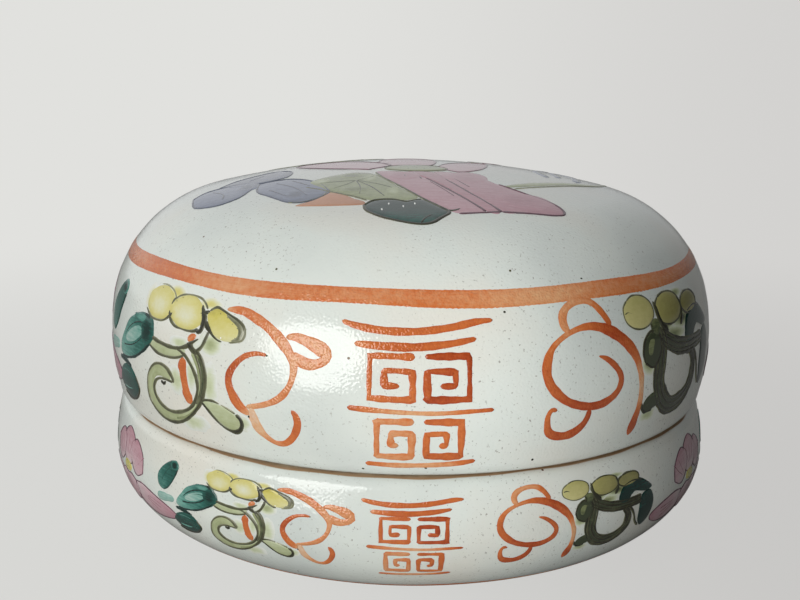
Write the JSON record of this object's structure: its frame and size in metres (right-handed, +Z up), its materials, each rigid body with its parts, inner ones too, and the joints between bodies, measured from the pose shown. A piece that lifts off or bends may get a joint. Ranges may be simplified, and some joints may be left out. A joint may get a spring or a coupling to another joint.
{
  "type": "seal paste box",
  "caption": "Round domed porcelain box with a lift-off lid that seats over a collar, holding a cake of red seal paste in a shallow footed base, for inking seals at a writing desk.",
  "frame": {"origin": "centre of the foot ring's flat underside, on the surface that the box stands on", "axes": "+Z up, along the axis that the box is turned about; -Y is the side that faces the camera"},
  "size_m": [0.088, 0.088, 0.0502],
  "materials": {
    "porcelain": "gloss",
    "seal_paste": "matte"
  },
  "bodies": {
    "base": {"base": "porcelain", "seal_paste": "seal_paste"},
    "lid": {"lid": "porcelain"}
  },
  "joints": [
    {"name": "lid_lift", "type": "slide", "parent": "base", "child": "lid", "axis": [0, 0, 1], "range_m": [0, 0.05]}
  ]
}
